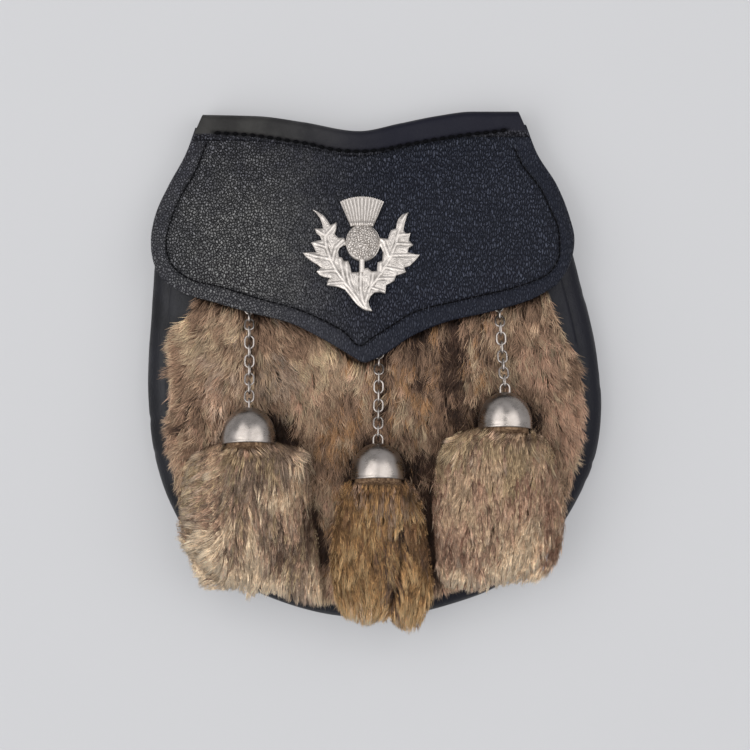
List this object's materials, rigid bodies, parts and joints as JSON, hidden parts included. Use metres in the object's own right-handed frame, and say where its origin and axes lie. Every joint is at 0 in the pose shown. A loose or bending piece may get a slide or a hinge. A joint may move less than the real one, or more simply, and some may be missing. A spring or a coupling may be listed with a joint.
{
  "type": "sporran pouch",
  "caption": "Hollow leather belt pouch with a pointed flap, a metal thistle badge, a fur front and fur tassels in domed caps on chains, lying on its back.",
  "frame": {"origin": "centre of the bounding box, on the flat back that the pouch lies on", "axes": "+X to the wearer's left as seen from the front, +Y to the top edge, +Z out of the front"},
  "size_m": [0.2006, 0.227, 0.0564],
  "materials": {
    "smooth_leather": "smooth semi-gloss black",
    "grained_leather": "pebbled semi-gloss black",
    "plain_leather": "matte black split",
    "front_pelt": "rabbit fur, grey-brown",
    "tassel_pelt": "rabbit fur, tan",
    "polished_nickel": "polished nickel plate",
    "pewter": "cast pewter, bright on the high parts"
  },
  "bodies": {
    "root": {"back_panel": "plain_leather", "gusset": "smooth_leather", "front_panel": "plain_leather", "top_strip": "smooth_leather", "flap": "grained_leather", "press_stud": "polished_nickel", "front_fur": "front_pelt", "thistle_badge": "pewter", "chain_left_link_01": "polished_nickel", "chain_left_link_02": "polished_nickel", "chain_left_link_03": "polished_nickel", "chain_left_link_04": "polished_nickel", "chain_left_link_05": "polished_nickel", "chain_left_link_06": "polished_nickel", "chain_left_link_07": "polished_nickel", "chain_left_link_08": "polished_nickel", "chain_left_link_09": "polished_nickel", "chain_left_link_10": "polished_nickel", "chain_left_link_11": "polished_nickel", "chain_left_link_12": "polished_nickel", "chain_staple_left": "polished_nickel", "dome_left": "polished_nickel", "tassel_left": "tassel_pelt", "chain_middle_link_01": "polished_nickel", "chain_middle_link_02": "polished_nickel", "chain_middle_link_03": "polished_nickel", "chain_middle_link_04": "polished_nickel", "chain_middle_link_05": "polished_nickel", "chain_middle_link_06": "polished_nickel", "chain_middle_link_07": "polished_nickel", "chain_middle_link_08": "polished_nickel", "chain_middle_link_09": "polished_nickel", "chain_middle_link_10": "polished_nickel", "chain_middle_link_11": "polished_nickel", "chain_staple_middle": "polished_nickel", "dome_middle": "polished_nickel", "tassel_middle": "tassel_pelt", "chain_right_link_01": "polished_nickel", "chain_right_link_02": "polished_nickel", "chain_right_link_03": "polished_nickel", "chain_right_link_04": "polished_nickel", "chain_right_link_05": "polished_nickel", "chain_right_link_06": "polished_nickel", "chain_right_link_07": "polished_nickel", "chain_right_link_08": "polished_nickel", "chain_right_link_09": "polished_nickel", "chain_right_link_10": "polished_nickel", "chain_right_link_11": "polished_nickel", "chain_staple_right": "polished_nickel", "dome_right": "polished_nickel", "tassel_right": "tassel_pelt"}
  },
  "joints": []
}
